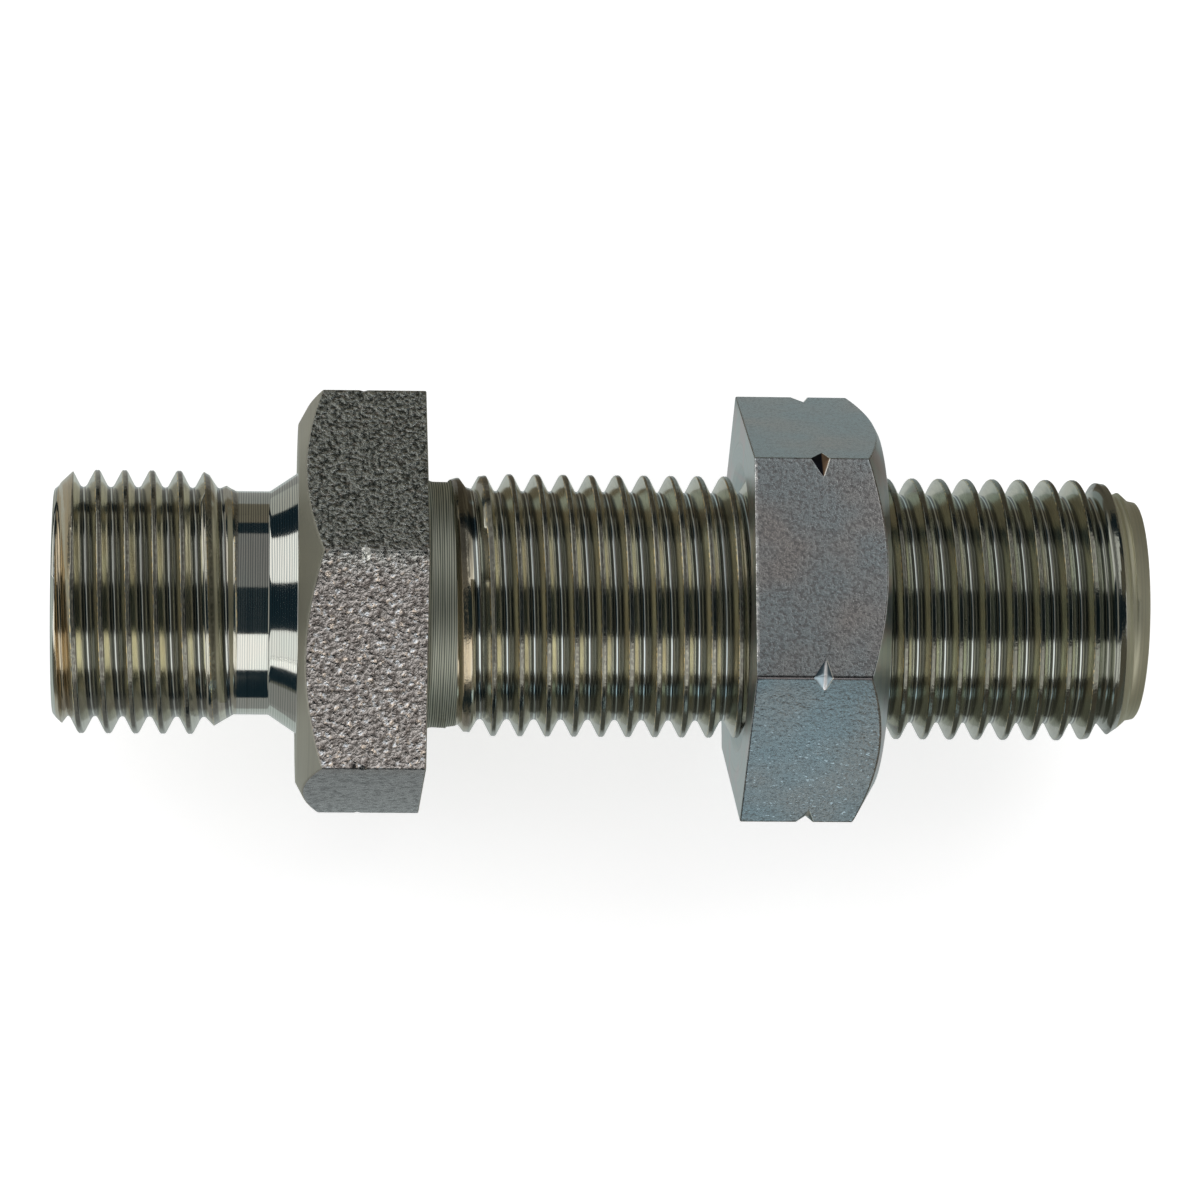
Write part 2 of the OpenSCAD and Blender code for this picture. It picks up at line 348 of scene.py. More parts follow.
def corner_cut(phase, flats, corner, depth):
    """Distance from the axis to straight cuts across the corners of a hexagon: that of the cut's middle
    over the cosine of the angle from the corner. With it comes that angle, as a part of the angle at
    which the cut ends."""
    turn = np.abs((phase - corner + 30) % 60 - 30)
    r = (flats / 2 / math.cos(math.radians(30)) - depth) / np.cos(np.radians(turn))
    end = math.degrees(math.atan(depth * math.tan(math.radians(60)) / r.min()))
    return r, turn / end


def thread_depth(x, phase, crest, seam=SEAM_DEPTH):
    """Depth of a right-hand thread below its crest circle. The place in the pitch is x less the crest's
    own x, which moves on by one pitch a turn. Over the crest the depth is that of a circle, down the
    flank it grows evenly, and the root is the crest's curve turned over. The seam is a small V."""
    place = (x - crest - PITCH * phase / 360 + PITCH / 2) % PITCH - PITCH / 2
    out = np.abs(place)
    inner = np.minimum(out, PITCH / 2 - out)
    curve = ROUNDING - np.sqrt(ROUNDING**2 - np.minimum(inner, HALF_ARC) ** 2)
    flank = ARC_DEPTH + np.maximum(inner - HALF_ARC, 0) / math.tan(FLANK)
    depth = np.where(inner < HALF_ARC, curve, flank)
    fold = seam * np.maximum(1 - out / SEAM_HALF, 0)
    return np.where(out > PITCH / 4, THREAD_DEPTH - depth, depth + fold)


def helical_lines(start, end, crest, phases):
    """Grid lines of a threaded stretch, as x of each line in each column, and how the lines close.

    Line q starts at place low(q) and climbs evenly to place high(q) in one turn. High is q and low is
    q less the lines in a pitch, both kept within the stretch, so the first line and the last are
    plain rings. The lines that start with the first ring share its first vertex, and each line goes
    on, a turn later, as the line that starts where it ended."""
    count = len(LINES)
    turns = np.arange(math.floor((start - crest) / PITCH) - 2, math.ceil((end - crest) / PITCH) + 2)
    places = (crest + PITCH * phases[0] / 360 + turns[:, None] * PITCH + LINES[None, :]).ravel()
    places = places[(places >= start) & (places <= end)]
    last = len(places) - 1
    q = np.arange(last + count + 1)
    low = places[np.maximum(q - count, 0)]
    high = places[np.minimum(q, last)]
    turn = (phases - phases[0]) / 360
    x = low[:, None] + (high - low)[:, None] * turn[None, :]
    return x, np.maximum(q, count), np.minimum(q, last) + count


class Skin:
    """A closed skin as a grid of lines round the axis, which runs out along the outside and back
    through the bore. A vertex is at x, and at its radius from the axis at its column's phase."""

    def __init__(self, phases):
        self.phases = phases
        self.x = []
        self.r = []
        self.normal = []
        self.first = []
        self.next = []
        self.finish = []
        self.count = 0

    def add(self, x, r, finish, first=None, follow=None):
        """Adds lines. x is an array of lines by columns, or of lines alone for plain rings. So is r, or
        it is a function of x and phase, and then its slopes give the lines their exact normals: the
        normal is outward, less the slope along x, and turned back by the slope round the axis."""
        x = np.asarray(x, float)
        if x.ndim == 1:
            x = np.repeat(x[:, None], len(self.phases), 1)
        normal = np.zeros((*x.shape, 3))
        if callable(r):
            slope = (r(x + 0.001, self.phases) - r(x - 0.001, self.phases)) / 0.002
            turn = np.degrees(r(x, self.phases + 0.05) - r(x, self.phases - 0.05)) / 0.1 / r(x, self.phases)
            phase = np.radians(self.phases)
            normal[:, :, 0] = -slope
            normal[:, :, 1] = np.cos(phase) + turn * np.sin(phase)
            normal[:, :, 2] = np.sin(phase) - turn * np.cos(phase)
            normal /= np.linalg.norm(normal, axis=2, keepdims=True)
            r = r(x, self.phases)
        r = np.asarray(r, float)
        if r.ndim == 1:
            r = np.repeat(r[:, None], len(self.phases), 1)
        finish = np.asarray(finish)
        if finish.ndim == 1:
            finish = finish[:, None]
        own = np.arange(len(x))
        first = own if first is None else first
        follow = own if follow is None else follow
        self.x.append(x)
        self.r.append(r)
        self.normal.append(normal)
        self.first.append(first + self.count)
        self.next.append(follow + self.count)
        self.finish.append(np.broadcast_to(finish, (len(x), len(self.phases) - 1)))
        self.count += len(x)

    def mesh(self, name, plates, sharp):
        """The mesh, with the material of each plate. Faces lie between each line and the next, and the
        last line meets the first. An edge is left sharp where its faces meet at more than that many
        degrees."""
        x = np.concatenate(self.x)
        r = np.concatenate(self.r)
        phase = np.radians(self.phases)[None, :]
        points = np.stack([x, r * np.cos(phase), r * np.sin(phase)], 2)[:, :-1] * MM
        rows, columns = points.shape[:2]
        number = np.arange(rows * columns).reshape(rows, columns)
        grid = np.concatenate([number, number[np.concatenate(self.next), :1]], 1)
        grid[:, 0] = number[np.concatenate(self.first), 0]
        after = np.roll(grid, -1, 0)
        quads = np.stack([grid[:, :-1], grid[:, 1:], after[:, 1:], after[:, :-1]], 2).reshape(-1, 4)
        finish = np.concatenate(self.finish).ravel()
        no_left = quads[:, 0] == quads[:, 3]
        no_right = quads[:, 1] == quads[:, 2]
        whole = ~(no_left | no_right)
        corners = [quads[whole], quads[no_left][:, [0, 1, 2]], quads[no_right][:, [0, 1, 3]]]
        finish = np.concatenate([finish[whole], finish[no_left], finish[no_right]])
        used, renumbered = np.unique(np.concatenate([c.ravel() for c in corners]), return_inverse=True)
        splits = np.cumsum([c.size for c in corners])[:-1]
        corners = [part.reshape(-1, c.shape[1]) for part, c in zip(np.split(renumbered, splits), corners)]
        mesh = bpy.data.meshes.new(name)
        mesh.from_pydata(points.reshape(-1, 3)[used], [], sum((c.tolist() for c in corners), []))
        for plate in plates:
            mesh.materials.append(plate.material)
        mesh.polygons.foreach_set("material_index", finish.astype(np.int32))
        mesh.polygons.foreach_set("use_smooth", np.ones(len(finish), bool))
        mesh.set_sharp_from_angle(angle=math.radians(sharp))
        mesh.update()
        normal = np.concatenate(self.normal)[:, :-1].reshape(-1, 3)[used]
        mesh.normals_split_custom_set_from_vertices(normal.tolist())
        return mesh


ON_THREAD, ON_TURNED, ON_HEX, ON_DULL = 0, 1, 2, 3
body_phases = column_phases(HEX_CORNER, [0, 0.25, 0.5, 1, *np.arange(3, 58, 3), 59, 59.5, 59.75])
body_skin = Skin(body_phases)

# Mouth of the port end, its face and its outer edge
body_skin.add(
    [PORT_X + 0.04, PORT_X, PORT_X, PORT_X, PORT_X + 0.03],
    [SEAT_R - 0.023, SEAT_R + 0.03, 5.0, PORT_R - 0.1, PORT_R - 0.02],
    ON_TURNED,
)

# Port thread, under a lead-in chamfer at the end and an even run-out into the neck
x, first, follow = helical_lines(PORT_X + 0.06, NECK_X + 0.1, PORT_CREST, body_phases)


def port_thread(x, phase):
    """Distance of the port thread from the axis: the thread's depth below its crest circle, and no
    further out than a line that rises over the lead-in chamfer and falls over the run-out."""
    most = np.interp(x, [PORT_X, PORT_X + 1, NECK_X - 1.65, NECK_X], [PORT_R, THREAD_R, THREAD_R, NECK_R])
    return np.minimum(THREAD_R - thread_depth(x, phase, PORT_CREST), most)


body_skin.add(x, port_thread, ON_THREAD, first, follow)

# Neck, and the cone up to the hexagon, with a soft corner where it starts
neck_x = [NECK_X + 0.14, -8.9, -8.3, CONE_X - 0.07, CONE_X - 0.03]
body_skin.add(neck_x, [NECK_R] * len(neck_x), ON_TURNED)
cone_x = [CONE_X, CONE_X + 0.04, CONE_X + 0.08, -6.8, HEX_X - 0.03, HEX_X - 0.01]
body_skin.add(cone_x, [5.518, 5.54, 5.5637, 6.027, 6.41, 6.4234], ON_TURNED)

# Hexagon: the round face, the chamfer, the sides with a nick across each corner, the clamping face
hex_r = hexagon_radius(body_phases, HEX_FLATS, HEX_CORNER, HEX_ROUNDING)
chamfer_x = HEX_X + (hex_r - HEX_FACE_R) * CHAMFER
body_skin.add(
    [HEX_X, HEX_X, HEX_X, HEX_X + 0.02],
    [CONE_R + 0.01, CONE_R + 0.03, HEX_FACE_R - 0.06, HEX_FACE_R - 0.01],
    ON_DULL,
)
body_skin.add(
    [chamfer_x - BESIDE_EDGE * CHAMFER, chamfer_x - EDGE * CHAMFER],
    [hex_r - BESIDE_EDGE, hex_r - EDGE],
    ON_DULL,
)
nick_r, from_corner = corner_cut(body_phases, HEX_FLATS, HEX_CORNER, NICK_DEPTH)
nick_open = NICK_HALF * (1 - NICK_TAPER * np.minimum(from_corner, 1))
nick_x = [NICK_X - nick_open, np.full(len(hex_r), NICK_X), NICK_X + nick_open]
side_x = [
    chamfer_x + EDGE,
    chamfer_x + BESIDE_EDGE,
    nick_x[0] - 0.02,
    *nick_x,
    nick_x[2] + 0.02,
    np.full(len(hex_r), -BESIDE_EDGE),
]
side_r = [hex_r, hex_r, hex_r, hex_r, np.minimum(hex_r, nick_r), hex_r, hex_r, hex_r]
body_skin.add(side_x, side_r, ON_HEX)
body_skin.add(np.full((1, len(hex_r)), -EDGE), hex_r[None, :], ON_DULL)
body_skin.add(np.zeros((2, len(hex_r))), [hex_r - EDGE, hex_r - BESIDE_EDGE], ON_DULL)
body_skin.add([0, 0], [HEX_FACE_R, SHANK_R + FILLET], ON_DULL)
arc = np.radians(np.arange(1, 6) * 18)
body_skin.add(FILLET * (1 - np.cos(arc)), SHANK_R + FILLET * (1 - np.sin(arc)), ON_DULL)

# Long thread: its crests rise and its roots sink over the first turns, and its end is tapered
x, first, follow = helical_lines(SHANK_X + 0.05, TIP_X - 0.05, SHANK_CREST, body_phases)


def long_thread(x, phase):
    """Distance of the long thread from the axis. The crests rise and the roots sink over the first
    turns, and over the last one the end's taper cuts the crests."""
    most = np.interp(
        x,
        [SHANK_X, 1.3, 1.58, 2.2, 2.94, 3.45, 32.3, 32.98, 33.85, 34.1, 34.55, TIP_X],
        [SHANK_R, 6.19, 6.28, 6.28, 6.4, THREAD_R, THREAD_R, 6.42, 6.31, 6.19, 5.88, 5.5],
    )
    least = np.interp(x, [SHANK_X, 1.6, 2.15, 2.7], [SHANK_R, 6.0, 5.8, THREAD_R - THREAD_DEPTH])
    return np.minimum(np.maximum(THREAD_R - thread_depth(x, phase, SHANK_CREST), least), most)


at_end = (x.mean(1) < RUN_IN_END) | (x.mean(1) > TAPER_START)
finish = np.where(at_end, ON_DULL, ON_THREAD)
body_skin.add(x, long_thread, finish, first, follow)

# Plain tip, the end face, the seat and the bore, back to the port end
body_skin.add(
    [TIP_X, END_X - 0.06, END_X, END_X, END_X, END_X - 0.04],
    [5.49, TIP_R + 0.01, TIP_R - 0.07, 5.0, SEAT_R + 0.03, SEAT_R - 0.023],
    ON_DULL,
)
bore_x = np.linspace(END_X - SEAT_DEPTH, PORT_X + SEAT_DEPTH, 9)
body_skin.add(bore_x, np.full(9, BORE_R), ON_TURNED)


class Plate:
    """A bare metal, coloured by nodes from places on the piece in millimetres: the point, and its x, y
    and z. A method that makes a node gives the node's output, for the next one to use."""

    def __init__(self, name, roughness):
        self.material = bpy.data.materials.new(name)
        self.material.use_nodes = True
        self.shader = self.material.node_tree.nodes["Principled BSDF"]
        self.shade("Metallic", 1)
        self.shade("Roughness", roughness)
        places = new_node(self.material, "ShaderNodeTexCoord").outputs["Object"]
        self.point = self.node("ShaderNodeMapping", Vector=places, Scale=(1000, 1000, 1000))
        self.x, self.y, self.z = new_node(self.material, "ShaderNodeSeparateXYZ", Vector=self.point).outputs
        self.film = None

    def shade(self, name, value):
        """Gives the metal's shader one of its inputs."""
        feed(self.material, self.shader, {name: value})

    def node(self, kind, **inputs):
        """The first output of a new node."""
        return new_node(self.material, kind, **inputs).outputs[0]

    def calc(self, operation, *values):
        """What a Math node makes of the values."""
        return calc(self.material, operation, *values)

    def times(self, first, second):
        """The product of both."""
        return self.calc("MULTIPLY", first, second)

    def radius(self):
        """Distance from the axis."""
        return self.calc("SQRT", self.calc("MULTIPLY_ADD", self.y, self.y, self.times(self.z, self.z)))

    def helix(self):
        """X less the thread's advance, which stays the same along a crest."""
        turn = self.calc("ARCTAN2", self.y, self.z)
        return self.calc("ADD", self.x, self.times(turn, PITCH / (2 * math.pi)))

    def grooves(self, spacing, waver, wander):
        """The tool's grooves, that far apart, as waves from -1 to 1. Waver shifts them along the axis."""
        shift = self.times(waver, wander)
        return self.calc("SINE", self.calc("MULTIPLY_ADD", self.x, 2 * math.pi / spacing, shift))

    def ring_point(self):
        """A point for a pattern of rings, which is the same all round the axis."""
        return self.node("ShaderNodeCombineXYZ", X=self.x, Y=self.radius())

    def stretched(self, source, x_scale, yz_scale):
        """A point for a pattern drawn out round the axis: source times x_scale, and y and z times
        yz_scale."""
        x, y, z = self.times(source, x_scale), self.times(self.y, yz_scale), self.times(self.z, yz_scale)
        return self.node("ShaderNodeCombineXYZ", X=x, Y=y, Z=z)

    def noise(self, point, scale, detail=2, rough=0.5):
        """A cloudy pattern, from 0 to 1."""
        return self.node("ShaderNodeTexNoise", Vector=point, Scale=scale, Detail=detail, Roughness=rough)

    def spread(self, source, low, high, to_low=0, to_high=1):
        """Source from low to high, made to run evenly from to_low to to_high, and held there outside."""
        ends = {"From_Min": low, "From_Max": high, "To_Min": to_low, "To_Max": to_high}
        return self.node("ShaderNodeMapRange", Value=source, **ends)

    def band(self, source, low, high, soft):
        """1 where source is from low to high, and down to 0 over a soft edge on both sides."""
        off = self.calc("ABSOLUTE", self.calc("SUBTRACT", source, (low + high) / 2))
        half = (high - low) / 2
        return self.spread(off, half, half + soft, 1, 0)

    def blend(self, factor, first, second):
        """A colour that goes from first to second with the factor."""
        made = self.material.node_tree.nodes.new("ShaderNodeMix")
        made.data_type = "RGBA"
        first, second = ((*each, 1) if isinstance(each, tuple) else each for each in (first, second))
        feed(self.material, made, {0: factor, 6: first, 7: second})
        return made.outputs[2]

    def coat(self, factor, colour):
        """Lays a colour over the film that is there, as thickly as the factor says."""
        self.film = self.blend(factor, self.film, colour)
        self.shade("Base Color", self.film)

    def relief(self, *heights):
        """Bumps from pairs of a pattern and its height in millimetres, one on top of the other."""
        below = {}
        for pattern, height in heights:
            below["Normal"] = self.node(
                "ShaderNodeBump", Height=pattern, Strength=1, Distance=height * MM, **below
            )
        self.shade("Normal", below["Normal"])


# Rolled thread: the flanks facing +X are painted cream and those facing -X olive, which is painted light and
# shade, with fine streaks along them. Past the nut the cream turns greener. Place is along the pitch, 0 at a
# crest.
thread = Plate("rolled_thread", 0.25)
helix = thread.helix()
on_port = thread.calc("LESS_THAN", thread.x, HEX_X)
to_port = thread.times(on_port, SHANK_CREST - PORT_CREST)
from_crest = thread.calc("SUBTRACT", thread.calc("ADD", helix, to_port), SHANK_CREST + PITCH / 4)
place = thread.calc("WRAP", from_crest, PITCH / 2, -PITCH / 2)
off_crest = thread.calc("ABSOLUTE", place)
past_nut = thread.spread(thread.x, 18, 27)
right_flank = thread.spread(place, -0.03, 0.03)
streaks = thread.noise(thread.stretched(helix, 9, 0.45), 1, 3, 0.6)
fine_streaks = thread.noise(thread.stretched(helix, 22, 0.9), 1)
patches = thread.noise(thread.stretched(helix, 0.9, 0.35), 1, 3, 0.6)
specks = thread.noise(thread.point, 5, 3, 0.6)
pits = thread.noise(thread.point, 5.5)
# Painted light and shade: cream on the flanks facing +X, olive on those facing -X
thread.film = thread.blend(right_flank, (0.68, 0.67, 0.56), (0.88, 0.86, 0.71))
thread.coat(thread.times(past_nut, right_flank), (0.66, 0.72, 0.62))
thread.coat(thread.spread(patches, 0.4, 0.68, 0, 0.5), (0.64, 0.57, 0.45))
thread.coat(thread.spread(streaks, 0.55, 0.3, 0, 0.5), (0.4, 0.4, 0.34))

# Its crests are darker, with a painted highlight in gold on one side and a dark streak along the middle
crest_darkening = thread.times(thread.band(off_crest, 0, 0.14, 0.03), 0.85)
thread.coat(crest_darkening, thread.blend(past_nut, (0.3, 0.3, 0.25), (0.17, 0.18, 0.14)))
crest_highlight = thread.times(thread.band(place, -0.15, -0.12, 0.015), thread.spread(specks, 0.42, 0.58, 0, 0.9))
thread.coat(thread.times(crest_highlight, thread.spread(past_nut, 0, 1, 1, 0.7)), (0.98, 0.78, 0.42))
dark = thread.times(thread.band(place, -0.04, 0.08, 0.03), thread.spread(specks, 0.62, 0.45, 0, 0.85))
thread.coat(dark, (0.2, 0.19, 0.16))

# Its roots have painted shade at their edges and a painted reflection in the middle, but not where they run
# out
thread.coat(thread.band(off_crest, 0.58, 0.62, 0.03), (0.16, 0.16, 0.15))
thread.coat(thread.band(place, 0.49, 0.61, 0.04), (0.15, 0.16, 0.15))
port_end = thread.band(thread.x, PORT_X, PORT_X + 0.9, 0.1)
ends = thread.calc("ADD", port_end, thread.band(thread.x, 1, 2.2, 0.1))
whole = thread.calc("SUBTRACT", thread.spread(on_port, 0, 1, 1, 0.55), ends)
root_reflection = thread.times(thread.spread(off_crest, 0.63, 0.65, 0, 0.9), whole)
thread.coat(thread.times(root_reflection, thread.spread(past_nut, 0, 1, 1, 0.6)), (0.74, 0.83, 0.83))
thread.coat(thread.spread(pits, 0.74, 0.78, 0, 0.8), (0.1, 0.1, 0.08))

# The first turn of each thread is brown, and on the long one its side towards +Y is darker, which is painted
# shade. The last turn of the long one is grey, and the threads' side towards -Y is greyer, which is painted
# shade.
brown_turn_and_shade = thread.times(ends, thread.spread(streaks, 0.4, 0.6, 0.65, 1))
shade_towards_plus_y = thread.times(thread.spread(thread.y, -1.5, 1.5), thread.calc("SUBTRACT", 1, on_port))
thread.coat(brown_turn_and_shade, thread.blend(shade_towards_plus_y, (0.6, 0.5, 0.34), (0.15, 0.135, 0.1)))
thread.coat(thread.band(thread.x, 33.2, 34.3, 0.2), (0.34, 0.35, 0.3))
# Painted shade: greyer on the side towards -Y
thread.coat(thread.spread(thread.y, -5, -6.3, 0, 0.5), (0.34, 0.35, 0.32))
thread.shade("Roughness", thread.spread(fine_streaks, 0.3, 0.7, 0.13, 0.19))
crest_specks = thread.times(specks, thread.spread(off_crest, 0.12, 0.2, 1, 0))
thread.relief((crest_specks, 0.012), (streaks, 0.0004))

# Turned steel: bright, with the tool's fine rings, which are darker on the side towards +Y as painted shade.
# The bore is duller than the outside.
turned = Plate("turned_plate", 0.12)
waver = turned.noise(turned.stretched(turned.x, 3, 0.2), 1)
wide_rings = turned.noise(turned.stretched(turned.x, 7, 0.05), 1, 2, 0.7)
tint = turned.spread(turned.noise(turned.point, 0.5), 0.35, 0.65)
turned.film = turned.blend(tint, (0.7, 0.73, 0.66), (0.74, 0.73, 0.66))
cuts = turned.spread(turned.grooves(0.117, waver, 6), 0.3, -0.8)
turned.coat(turned.times(cuts, turned.spread(turned.y, -2, 0, 0.45, 1)), (0.36, 0.39, 0.37))
turned.coat(turned.spread(wide_rings, 0.45, 0.25, 0, 0.4), (0.42, 0.4, 0.34))
in_bore = turned.spread(turned.radius(), SEAT_R + 0.1, SEAT_R - 0.1, 0, 0.22)
turned.shade("Roughness", turned.calc("ADD", turned.spread(wide_rings, 0.3, 0.7, 0.07, 0.1), in_bore))
turned.relief((wide_rings, 0.001))

# The same steel where the tool left it dull: the faces of the hexagon, its chamfer, the shank's neck and the
# tip. Away from the middle, towards +Y and -Y, it is painted lighter, which is painted light.
dull = Plate("dull_plate", 0.55)
rings = dull.noise(dull.ring_point(), 9, 2, 0.7)
waver = dull.noise(dull.stretched(dull.x, 4, 0.15), 1)
at_neck = dull.band(dull.x, 0.1, 2, 0.1)
painted_light_aside = dull.spread(dull.calc("ABSOLUTE", dull.y), 3, 7)
# Painted light: lighter towards +Y and -Y
dull.film = dull.blend(painted_light_aside, (0.39, 0.38, 0.31), (0.6, 0.585, 0.5))
dull.coat(dull.spread(dull.x, 5, 10), (0.68, 0.66, 0.5))
dull.coat(at_neck, (0.66, 0.67, 0.56))
dull.coat(dull.spread(rings, 0.5, 0.3, 0, 0.4), (0.36, 0.36, 0.3))
cuts = dull.spread(dull.grooves(0.11, waver, 9), 0.4, -0.6)
dull.coat(dull.times(at_neck, cuts), (0.2, 0.22, 0.19))
dull.relief((rings, 0.004))

# Sides of the hexagon: the bar's own skin, coarse and pitted like leather. Its tone by side is painted light
# and shade: towards -Y it is warmer, with more painted glints as bright spots, towards +Y its hollows are
# darker and its high parts lighter, and the sides beneath are greyer. The last side towards -Y is painted
# grey-blue, as a painted reflection, with fine pits.
flats = Plate("hexagon_plate", 0.24)
grain = flats.noise(flats.point, 4.4)
fine_grain = flats.noise(flats.point, 9)
far_side = flats.spread(flats.y, -1, 1)
beneath = flats.spread(flats.z, -1, -5)
# Painted light and shade: the tones change with the side
hollows = flats.blend(far_side, (0.21, 0.185, 0.17), (0.1, 0.11, 0.1))
high_parts = flats.blend(far_side, (0.49, 0.455, 0.43), (0.61, 0.64, 0.6))
hollows = flats.blend(beneath, hollows, (0.24, 0.24, 0.22))
high_parts = flats.blend(beneath, high_parts, (0.46, 0.46, 0.43))
flats.film = flats.blend(flats.spread(grain, 0.38, 0.58), hollows, high_parts)
flats.coat(flats.spread(fine_grain, 0.6, 0.7, 0, 0.7), (0.9, 0.84, 0.78))
# Painted glints: bright spots, most of them towards -Y
glint_cells = flats.node("ShaderNodeTexVoronoi", Vector=flats.point, Scale=2.6, Randomness=1)
hex_glints = flats.times(flats.spread(glint_cells, 0.42, 0.22), flats.spread(far_side, 0, 1, 0.85, 0.15))
flats.coat(hex_glints, flats.blend(flats.spread(grain, 0.45, 0.55), (0.95, 0.81, 0.68), (0.85, 0.89, 0.93)))
# Painted reflection: the last side towards -Y is grey-blue, with fine pits
pits = flats.noise(flats.stretched(flats.x, 3, 2.3), 1, 3)
pits_and_painted_reflection = flats.blend(flats.spread(pits, 0.5, 0.42, 0, 0.9), (0.46, 0.49, 0.5), (0.2, 0.22, 0.23))
flats.coat(flats.spread(flats.y, -9.25, -9.35), pits_and_painted_reflection)

# The nick has a painted highlight at the top corner, and a painted shadow line beside it at the next corner
# towards -Y
nick_highlight = flats.band(flats.x, NICK_X - 0.17, NICK_X + 0.17, 0.05)
flats.coat(flats.times(nick_highlight, flats.band(flats.y, -0.1, 0.42, 0.08)), (1, 1, 0.92))
nick_shadow = flats.band(flats.x, NICK_X - 0.45, NICK_X - 0.35, 0.12)
flats.coat(flats.times(nick_shadow, flats.band(flats.y, -9.25, -9.1, 0.1)), (0.03, 0.03, 0.03))
flats.shade("Roughness", flats.spread(fine_grain, 0.3, 0.7, 0.18, 0.3))
flats.relief((grain, 0.07), (fine_grain, 0.01))

body = bpy.data.objects.new("union_piece", body_skin.mesh("union_piece", [thread, turned, flats, dull], 38))
scene.collection.objects.link(body)
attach(body, "union")
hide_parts("union_body")


# The lock nut is cold-formed steel, tapped and plated with clear blue zinc. It turns on the long
# thread and clamps the panel against the hexagon.
NUT_X = 15.65
NUT_END = 22.3
NUT_FLATS = 18.7
NUT_CORNER = 0  # phase of the corner on the +Y side
NUT_ROUNDING = 0.15  # radius of its corners
NUT_FACE_R = 8.9
NUT_HOLE_R = 5.76
SINK_R = 7.2  # of the countersink in each mouth
NOTCH_X = np.array([18.38, 18.98, 19.28])  # start, deepest line and end of the notch
NOTCH_DEPTH = 0.45
NOTCH_TAPER = 0.97  # part of its width that a notch loses by its ends
PLAY = 0.05  # running clearance of the two threads
ON_NUT_SIDE, ON_NUT_FACE, ON_NOTCH, ON_RIM = 0, 1, 2, 3

near_corner = np.array([0.2, 0.4, 0.8, 1.6, 2.5, 3.3, 3.8, 4.1, 4.5])
nut_steps = [0, *near_corner, *np.arange(7, 54, 4), *(60 - near_corner[::-1])]
nut_phases = column_phases(NUT_CORNER, nut_steps)
nut_skin = Skin(nut_phases)
nut_r = hexagon_radius(nut_phases, NUT_FLATS, NUT_CORNER, NUT_ROUNDING)
nut_chamfer_x = NUT_END - (nut_r - NUT_FACE_R) * CHAMFER
wide = len(nut_phases)
nut_skin.add(
    [NUT_X + 0.03, NUT_X, NUT_X, NUT_X],
    [SINK_R - 0.03, SINK_R + 0.02, SINK_R + 0.05, NUT_FACE_R],
    ON_NUT_FACE,
)
edge_finish = [ON_NUT_FACE, ON_NUT_SIDE]
nut_skin.add(np.full((2, wide), NUT_X), [nut_r - BESIDE_EDGE, nut_r - EDGE], edge_finish)
notch_r, from_corner = corner_cut(nut_phases, NUT_FLATS, NUT_CORNER, NOTCH_DEPTH)
closing = NOTCH_TAPER * np.minimum(from_corner, 1)
notch_x = NOTCH_X[1] + (NOTCH_X[:, None] - NOTCH_X[1]) * (1 - closing)
nut_side_x = [
    np.full(wide, NUT_X + EDGE),
    np.full(wide, NUT_X + BESIDE_EDGE),
    notch_x[0] - 0.02,
    *notch_x,
    notch_x[2] + 0.05,
    nut_chamfer_x - BESIDE_EDGE,
    nut_chamfer_x - EDGE,
]
nut_side_r = [nut_r, nut_r, nut_r, nut_r, np.minimum(nut_r, notch_r), nut_r, nut_r, nut_r, nut_r]
nut_side_finish = np.full((9, wide - 1), ON_NUT_SIDE)
cut_across = (from_corner < 1)[:-1] & (from_corner < 1)[1:]
nut_side_finish[3:5, cut_across] = ON_NOTCH
nut_side_finish[5, cut_across] = ON_RIM
nut_skin.add(nut_side_x, nut_side_r, nut_side_finish)
nut_skin.add(
    [nut_chamfer_x + EDGE * CHAMFER, nut_chamfer_x + BESIDE_EDGE * CHAMFER],
    [nut_r - EDGE, nut_r - BESIDE_EDGE],
    ON_NUT_FACE,
)
nut_skin.add(
    [NUT_END - 0.04, NUT_END - 0.02, NUT_END, NUT_END, NUT_END, NUT_END, NUT_END - 0.03],
    [
        NUT_FACE_R + 0.045,
        NUT_FACE_R + 0.01,
        NUT_FACE_R - 0.05,
        NUT_FACE_R - 0.08,
        SINK_R + 0.05,
        SINK_R + 0.02,
        SINK_R - 0.03,
    ],
    ON_NUT_FACE,
)

x, first, follow = helical_lines(NUT_X + 0.5, NUT_END - 0.5, SHANK_CREST, nut_phases)
sink = SINK_R - np.minimum(x - NUT_X, NUT_END - x)
inner = np.maximum(THREAD_R - thread_depth(x, nut_phases, SHANK_CREST, 0) + PLAY, NUT_HOLE_R)
last = len(x) - 1
nut_skin.add(x[::-1], np.maximum(inner, sink)[::-1], ON_NUT_FACE, last - first[::-1], last - follow[::-1])

# Sides of the nut: a fine even grain under clear zinc, with faint blue and warm patches. The side towards -Y
# is hammered and has painted glints as bright specks, a painted shade line runs along the corners at y = -5.4
# mm, and the top side has a painted glint along its edge on the hexagon's side.
sides = Plate("nut_flats", 0.24)
grain = sides.noise(sides.point, 7, 2, 0.6)
patches = sides.noise(sides.point, 0.28)
sides.film = sides.blend(sides.spread(patches, 0.38, 0.62), (0.47, 0.52, 0.535), (0.54, 0.51, 0.49))
sides.coat(sides.spread(grain, 0.5, 0.4, 0, 0.75), (0.31, 0.3, 0.3))
# Painted glints: bright specks on the side towards -Y
specks = sides.noise(sides.stretched(sides.x, 5, 8), 1, 1)
nut_glints = sides.times(sides.spread(specks, 0.66, 0.72), sides.spread(sides.y, -5.6, -8))
sides.coat(nut_glints, (0.95, 0.98, 1))
# Painted shade: a dark line along the corners at y = -5.4 mm
corner_y = -NUT_FLATS / 2 * math.tan(math.radians(30))
corner = sides.band(sides.y, corner_y - 0.04, corner_y + 0.1, 0.03)
sides.coat(sides.times(corner, 0.8), (0.12, 0.1, 0.1))
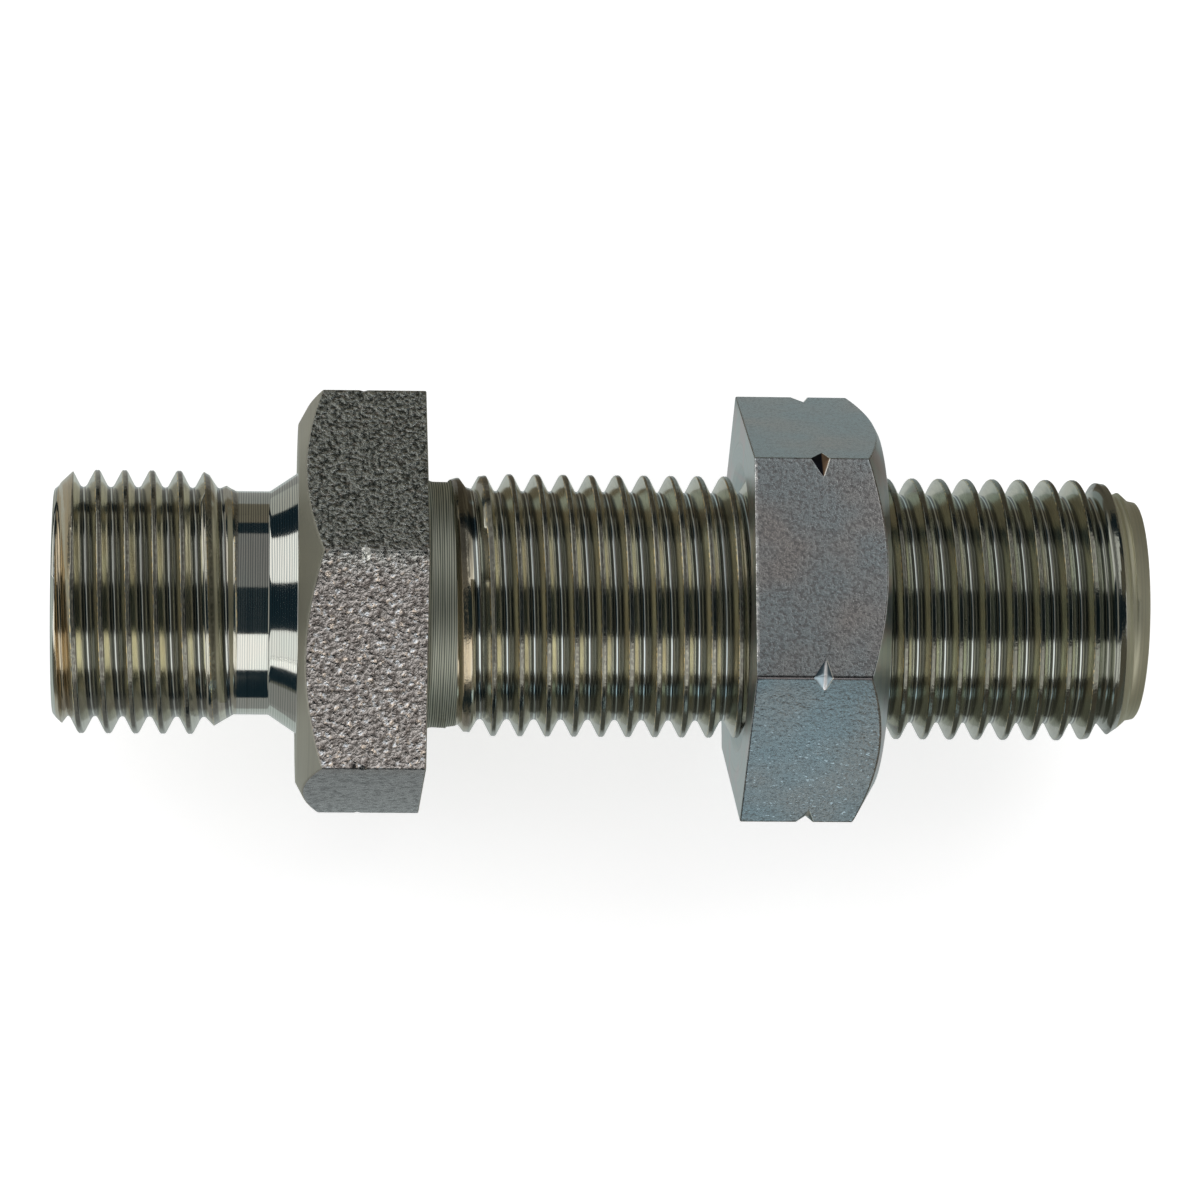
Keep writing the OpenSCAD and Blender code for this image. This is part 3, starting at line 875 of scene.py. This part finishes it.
# Painted glint: a bright broken line along the top side's edge towards the hexagon
edge_glint = sides.times(sides.band(sides.x, NUT_X - 0.05, NUT_X + 0.12, 0.04), sides.band(sides.y, -4.6, 5.3, 0.1))
glint_breaks = sides.spread(sides.noise(sides.point, 2.6), 0.42, 0.52, 0.2, 1)
sides.coat(sides.times(edge_glint, glint_breaks), (1, 1, 0.98))
sides.shade("Roughness", sides.spread(grain, 0.3, 0.7, 0.2, 0.3))
hammered = sides.times(sides.noise(sides.point, 3.6), sides.spread(sides.y, -5.4, -6.2))
sides.relief((hammered, 0.03), (grain, 0.011))

# Its faces and chamfer are turned, and smoother, with one ring scored round the face
faces = Plate("nut_turned", 0.28)
rings = faces.noise(faces.ring_point(), 5)
faces.film = faces.blend(faces.spread(rings, 0.3, 0.7), (0.45, 0.52, 0.54), (0.54, 0.59, 0.58))
score = faces.band(faces.radius(), 8.15, 8.2, 0.05)
faces.coat(faces.times(score, 0.5), (0.36, 0.4, 0.4))
faces.coat(faces.spread(faces.noise(faces.point, 0.45), 0.48, 0.62, 0, 0.8), (0.6, 0.52, 0.53))
faces.relief((rings, 0.003))

# The cut corners show the punch's own facets, with painted shade on the corners towards +Y and painted
# highlights on the others, and each cut has a painted highlight along its rim
notch = Plate("nut_notch", 0.3)
far_side = notch.spread(notch.y, -1, 1)
past_middle = notch.spread(notch.x, NOTCH_X[1] - 0.03, NOTCH_X[1] + 0.03)
shaded_facets = notch.blend(past_middle, (0.015, 0.015, 0.02), (0.24, 0.16, 0.1))
middle = notch.band(notch.x, NOTCH_X[1] - 0.05, NOTCH_X[1] + 0.05, 0.05)
notch_highlight = notch.blend(middle, (0.4, 0.5, 0.55), (1, 1, 1))
notch.shade("Base Color", notch.blend(far_side, notch_highlight, shaded_facets))
notch.shade("Roughness", notch.spread(far_side, 0, 1, 0.3, 0.55))

# Painted highlight along the rim of each cut
rim_highlight = Plate("nut_rim_highlight", 0.3)
rim_highlight.shade("Base Color", (1, 0.97, 0.88, 1))

nut = bpy.data.objects.new("nut_piece", nut_skin.mesh("nut_piece", [sides, faces, notch, rim_highlight], 25))
scene.collection.objects.link(nut)
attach(nut, "nut")
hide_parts("lock_nut")
